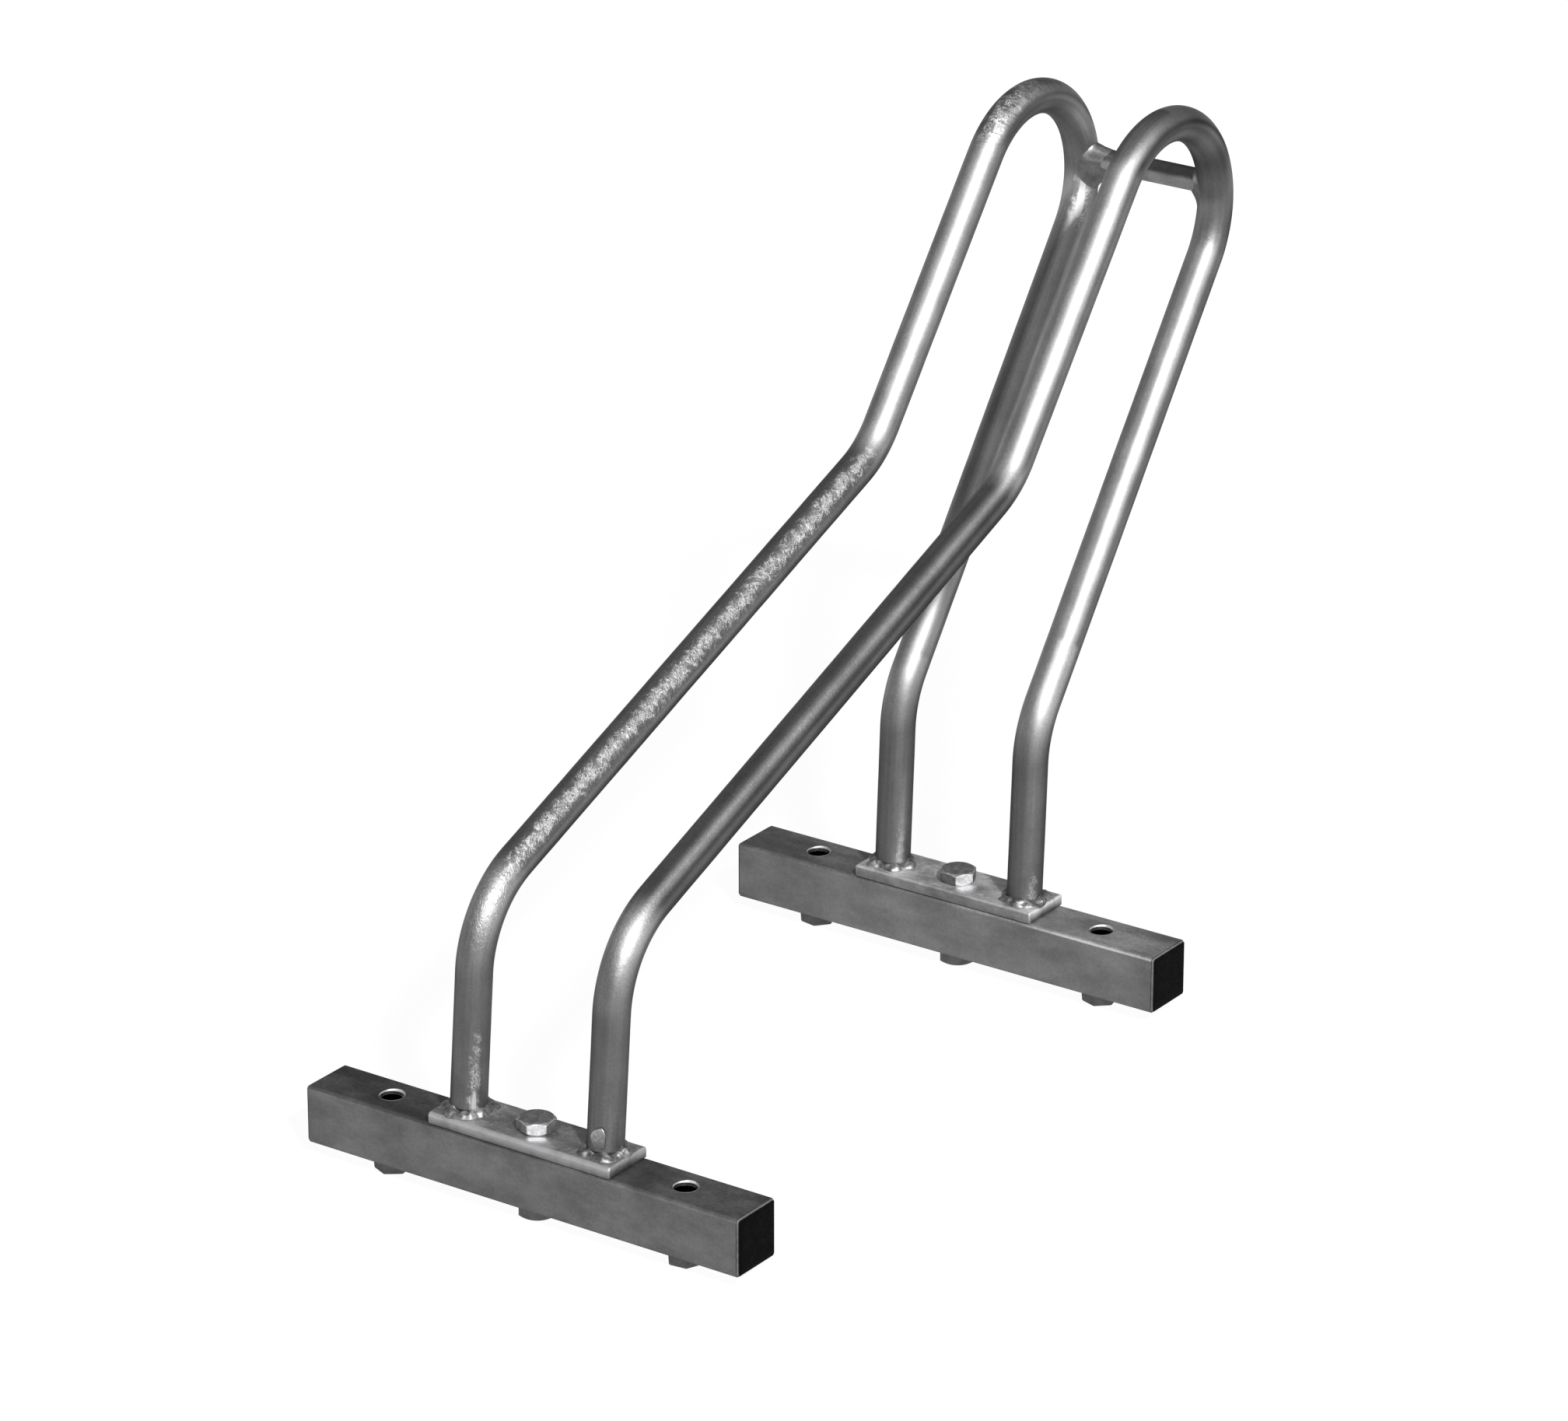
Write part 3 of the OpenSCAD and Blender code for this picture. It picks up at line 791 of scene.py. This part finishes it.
def make_plate(name, y, top_r, bolt_turn, node):
    """Flat bar with its long edges rolled round to top_r and its ends sawn. Its rolled and sawn edges carry a
    painted highlight, the rear plate is painted lighter, and a patch before the bolt's bright flat is a
    painted reflection of that flat."""
    near = y < 0
    low_r = 0.8
    half, low, high = PLATE_W / 2, BAR_TOP, PLATE_TOP
    thick = high - low
    end = PLATE_LEN / 2
    per_corner, across_top, along_top = 9, 24, 81

    def outline(inset):
        points = []
        corners = (
            (half - low_r, low + low_r, low_r, -90),
            (half - top_r, high - top_r, top_r, 0),
            (-half + top_r, high - top_r, top_r, 90),
            (-half + low_r, low + low_r, low_r, 180),
        )
        for cy, cz, r, start in corners:
            for i in range(per_corner):
                d = heading(start + 90 * i / (per_corner - 1))
                points.append((cy + (r - inset) * d[0], cz + (r - inset) * d[1]))
            if start == 0:
                flat = half - top_r
                points += [(flat - 2 * flat * i / across_top, high - inset) for i in range(1, across_top)]
        return points

    stations = [(-end, 0.7), (-end + 0.2, 0.3), (-end + 0.7, 0.0)]
    stations += [(x, 0.0) for x in np.linspace(-end + 1.2, end - 1.2, along_top)]
    stations += [(end - 0.7, 0.0), (end - 0.2, 0.3), (end, 0.7)]
    # The way from the bolt to the painted reflection of its bright flat
    reflection_way = heading(bolt_turn - 30)
    verts, edge, shade = [], [], []
    for x, inset in stations:
        for py, pz in outline(inset):
            top = pz > low + 2 and inset == 0.0
            dent = 0.07 * wobble((x, py, pz), 9, 2.0 + y / 100) if top else 0.0
            verts.append((x, y + py, pz - abs(dent)))
            # Painted highlight along the rolled top edges, strongest on the front plate's near side, and along
            # the sawn ends, stronger at +X
            lift = (pz - low) / thick
            side_on = ramp(abs(py), half - top_r * 1.15, half - top_r * 0.7)
            from_lift = 0.55 if near else 1 - top_r / thick
            rolled = side_on * ramp(lift, from_lift, from_lift + 0.2) * (1.0 if near and py < 0 else 0.7)
            sawn = ramp(abs(x), end - 1.0, end - 0.5) * ramp(lift, 0.5, 0.9) * (0.9 if x > 0 else 0.5)
            edge.append(max(rolled, sawn))
            # Painted light on the rear plate's faces, and a painted reflection of the bolt's bright flat on
            # the tops
            if side_on > 0.5:
                shade.append(0.98 if near else 1.05 + 0.2 * ramp(lift, 0.2, 0.6))
            else:
                outward = x * reflection_way[0] + py * reflection_way[1]
                sideways = x * reflection_way[1] - py * reflection_way[0]
                patch = hump(outward, 11.5, 2.6) * (1 - ramp(abs(sideways), 3.2, 5.2))
                shade.append(1.0 + 0.9 * patch if near else 1.68 + 1.4 * patch)
    faces = capped_faces(len(stations), len(outline(0.0)))
    obj = piece(name, verts, faces, PLATE, [node], {"edge": edge, "shade": shade})
    sharpen(obj, 40)
    return obj


def make_plug(name, side, y, node):
    """Square end plug: a thin head with a softened edge, and a stem inside the bar."""
    half = BAR_SIZE / 2 - PLUG_INSET
    middle = BAR_Z + BAR_SIZE / 2
    end = BAR_LEN / 2
    face = end + PLUG_T
    stem, per_corner = 12.6, 13

    def ring(x, h, r):
        row = []
        for k, (sy, sz) in enumerate(((1, 1), (-1, 1), (-1, -1), (1, -1))):
            for i in range(per_corner):
                d = heading(90 * k + 90 * i / (per_corner - 1))
                row.append((side * x, y + sy * (h - r) + r * d[0], middle + sz * (h - r) + r * d[1]))
        return row

    rows = [ring(face, 3.0, 1.0), ring(face, half - 4.0, 1.2), ring(face, half - 0.45, 1.3)]
    rows += [ring(face - 0.12, half - 0.12, 1.35), ring(face - 0.4, half, 1.4)]
    rows += [ring(end + 0.06, half, 1.4), ring(end + 0.01, half - 0.2, 1.3), ring(end + 0.01, stem, 0.4)]
    rows += [ring(end - PLUG_DEPTH + 1.5, stem - 0.3, 0.4)]
    rows += [ring(end - PLUG_DEPTH, stem - 1.4, 0.4), ring(end - PLUG_DEPTH, 3.0, 0.4)]
    # Painted highlight on the head's softened edge, marked by the attribute "rim"
    painted_rim_highlight = {3: 0.25, 4: 1.0, 5: 1.0}
    rim = [painted_rim_highlight.get(i, 0.0) for i, row in enumerate(rows) for _ in row]
    verts = [v for row in rows for v in row]
    faces = capped_faces(len(rows), len(rows[0]))
    faces = flipped(faces) if side > 0 else faces
    obj = piece(name, verts, faces, PLUG, [node], {"rim": rim})
    sharpen(obj, 50)
    return obj


def make_hole_rim(name, x, y, seed):
    """Zinc in a bolt hole's wall at the top of a bar, and gathered round it in an uneven raised ring. The wall
    carries a painted highlight and the ring painted shade, less at its back.
    """
    around, across, depth = 72, 8, 2.2
    verts, shade = [], []
    for phi in ring_angles(around):
        c, s = math.cos(phi), math.sin(phi)
        full = 0.5 + 0.3 * wobble((6 * c, 6 * s, seed), 4, seed) + 1.2 * max(0.0, s - 0.3)
        verts.append((x + (HOLE_R - 0.03) * c, y + (HOLE_R - 0.03) * s, BAR_TOP - depth))
        shade.append(1.0)
        for i in range(across + 1):
            t = i / across
            r = HOLE_R + 0.05 + full * t
            h = 0.42 * full * math.sin(math.pi * min(1.0, 0.12 + t)) - 0.7 * (1 - t) ** 4
            verts.append((x + r * c, y + r * s, BAR_TOP + h - 0.02))
            # Painted shade on the ring, less at its back
            shade.append(1.0 - (0.7 - 0.35 * max(0.0, s)) * ramp(t, 0.1, 0.6))
    faces = profile_faces(around, across + 2, closed=True)
    return piece(name, verts, faces, RIM, [], {"shade": shade})


def make_weld_mark(name, centre, out, length, width, height):
    """A flattened lump of weld on the side of a leg, its length upright."""
    rings, around, seed = 9, 28, 4.4
    upright = Vector((0, 0, 1))
    level = out.cross(upright)
    verts = []
    for i in range(rings + 1):
        t = i / rings
        for phi in ring_angles(around):
            spot = (math.cos(phi), math.sin(phi), t)
            r = max(0.02, math.sin(t * math.pi / 2) * (1 + 0.22 * wobble(spot, 0.9, seed)))
            h = math.cos(t * math.pi / 2) ** 0.8 * height * (1 + 0.3 * wobble(spot, 0.5, seed + 3)) - 0.08
            flat = upright * (length / 2 * r * math.cos(phi)) + level * (width / 2 * r * math.sin(phi))
            verts.append(tuple(centre + flat + out * h))
    return piece(name, verts, capped_faces(rings + 1, around), LINK_WELD, [])


make_hoop("left_hoop_tube", -1, "left_hoop")
make_hoop("right_hoop_tube", 1, "right_hoop")

front_lean = 1 / math.tan(math.radians(FRONT_ANGLE))
rear_lean = 1 / math.tan(math.radians(REAR_ANGLE))
leg_weld("front_left_weld_bead", -HOOP_X, -BAR_Y, front_lean, 1.3, 5.2, "front_left_leg_weld")
leg_weld("front_right_weld_bead", HOOP_X, -BAR_Y, front_lean, 2.7, 4.4, "front_right_leg_weld")
leg_weld("rear_left_weld_bead", -HOOP_X, BAR_Y, rear_lean, 4.1, 4.4, "rear_left_leg_weld")
leg_weld("rear_right_weld_bead", HOOP_X, BAR_Y, rear_lean, 5.9, 4.6, "rear_right_leg_weld")

mark_z = 9.0
mark_out = Vector((*heading(12 - 90), 0.0))
mark_at = Vector((HOOP_X, -BAR_Y + front_lean * mark_z, PLATE_TOP + mark_z)) + TUBE_R * mark_out
make_weld_mark("front_right_weld_mark", mark_at, mark_out, 12.5, 8.4, 0.8)
link_weld("link_left_weld_bead", -1, 1.9, "link_left_weld", width=3.0, length=11.5, run=1.15)
link_weld("link_right_weld_bead", 1, 3.3, "link_right_weld", width=2.4, length=3.4, run=1.4)

make_bolt("front_bolt_body", -BAR_Y, FRONT_BOLT_TURN, "front_bolt")
make_bolt("rear_bolt_body", BAR_Y, REAR_BOLT_TURN, "rear_bolt")
make_plate("front_plate_bar", -BAR_Y, 2.0, FRONT_BOLT_TURN, "front_plate")
make_plate("rear_plate_bar", BAR_Y, 1.2, REAR_BOLT_TURN, "rear_plate")

for end, y in (("front", -BAR_Y), ("rear", BAR_Y)):
    for side_name, side in (("left", -1), ("right", 1)):
        corner = end + "_" + side_name
        make_foot(corner + "_foot_nut", side * HOLE_X, y, FOOT_TURNS[end, side], corner + "_foot")
        make_plug(corner + "_plug_cap", side, y, corner + "_end_plug")
        make_hole_rim(corner + "_hole_rim", side * HOLE_X, y, side * 1.7 + y / 50)


# CAD nodes whose shape is right get their materials

def dress(node, material):
    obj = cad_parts[node]
    if not obj.material_slots:
        obj.data.materials.append(material)
    for s in obj.material_slots:
        s.material = material


dress("front_base_bar", FRONT_BAR)
dress("rear_base_bar", REAR_BAR)
dress("cross_link", LINK)
dress("front_nut", FOOT)
dress("rear_nut", FOOT)


# Floor, light and camera, in metres

def direction(azimuth, elevation):
    """The unit vector from the object to a place azimuth degrees round from the front and elevation up."""
    a, e = math.radians(azimuth), math.radians(elevation)
    return Vector((math.sin(a) * math.cos(e), -math.cos(a) * math.cos(e), math.sin(e)))


def make_floor():
    """A round floor that shows as white paper, to the camera and in the metal alike, and keeps a faint
    shadow."""
    rings, around, floor_r = 40, 96, 16.0
    verts = [(0.0, 0.0, 0.0)]
    for i in range(rings):
        r = floor_r * ((i + 1) / rings) ** 2
        verts += [(r * math.cos(a), r * math.sin(a), 0.0) for a in ring_angles(around)]
    faces = [(0, 1 + j, 1 + (j + 1) % around) for j in range(around)]
    faces += flipped(grid_faces(rings, around, 1))
    mesh = bpy.data.meshes.new("floor")
    mesh.from_pydata(verts, [], faces)
    floor = bpy.data.objects.new("floor", mesh)
    bpy.context.scene.collection.objects.link(floor)

    material, tree, shader = new_material("floor_paper")
    at = object_coords(tree)
    paper = noise_texture(tree, at, scale=3.0, detail=4.0)
    put(tree, shader.inputs["Base Color"], blend_colour(tree, paper, grey(0.27), grey(0.29)))
    shader.inputs["Roughness"].default_value = 0.9
    shader.inputs["Specular IOR Level"].default_value = 0.1
    glow = tree.nodes.new("ShaderNodeEmission")
    glow.inputs["Strength"].default_value = 1.12
    path = tree.nodes.new("ShaderNodeLightPath")
    length = tree.nodes.new("ShaderNodeVectorMath")
    length.operation = "LENGTH"
    tree.links.new(at, length.inputs[0])
    far = spread(tree, length.outputs["Value"], 0.5, 2.6, 0.86, 1.0)
    shown = larger(tree, path.outputs["Is Camera Ray"], path.outputs["Is Glossy Ray"])
    shown = larger(tree, shown, path.outputs["Is Transmission Ray"])
    mix = tree.nodes.new("ShaderNodeMixShader")
    tree.links.new(times(tree, far, shown), mix.inputs[0])
    tree.links.new(shader.outputs[0], mix.inputs[1])
    tree.links.new(glow.outputs[0], mix.inputs[2])
    out = next(n for n in tree.nodes if n.type == "OUTPUT_MATERIAL")
    tree.links.new(mix.outputs[0], out.inputs[0])
    mesh.materials.append(material)


def make_light():
    """One soft sun, and a world that is brightest in a band just above the horizon."""
    key = bpy.data.lights.new("key", "SUN")
    key.energy = SUN_ENERGY
    key.angle = math.radians(SUN_SIZE)
    lamp = bpy.data.objects.new("key", key)
    towards = direction(SUN_AZIMUTH, SUN_ELEVATION)
    lamp.rotation_euler = towards.to_track_quat("Z", "Y").to_euler()
    lamp.location = towards * 3
    bpy.context.scene.collection.objects.link(lamp)

    world = bpy.data.worlds.new("studio")
    bpy.context.scene.world = world
    world.use_nodes = True
    tree = world.node_tree
    tree.nodes.clear()
    out = tree.nodes.new("ShaderNodeOutputWorld")
    soft = tree.nodes.new("ShaderNodeBackground")
    height = split(tree, tree.nodes.new("ShaderNodeTexCoord").outputs["Generated"])[2]
    horizon = spread(tree, height, 0.06, 0.24, 0.7, 0.06)
    overhead = spread(tree, height, 0.3, 1.0, 0.0, 0.28)
    put(tree, soft.inputs["Strength"], plus(tree, horizon, overhead))
    soft.inputs["Color"].default_value = (1, 1, 1, 1)
    tree.links.new(soft.outputs[0], out.inputs[0])


def make_camera():
    data = bpy.data.cameras.new("camera")
    data.sensor_fit = "HORIZONTAL"
    data.sensor_width = FILM_WIDTH
    data.lens = LENS
    data.clip_start = 0.1
    data.clip_end = 60.0
    camera = bpy.data.objects.new("camera", data)
    right = Vector((*heading(CAMERA_AZIMUTH), 0))
    back = direction(CAMERA_AZIMUTH, CAMERA_ELEVATION)
    up = back.cross(right)
    turn = Matrix((right, up, back)).transposed()
    camera.matrix_world = Matrix.Translation(Vector(CAMERA_AT)) @ turn.to_4x4()
    bpy.context.scene.collection.objects.link(camera)
    bpy.context.scene.camera = camera


make_floor()
make_light()
make_camera()
bpy.context.scene.view_settings.view_transform = "Standard"

bpy.context.view_layer.update()
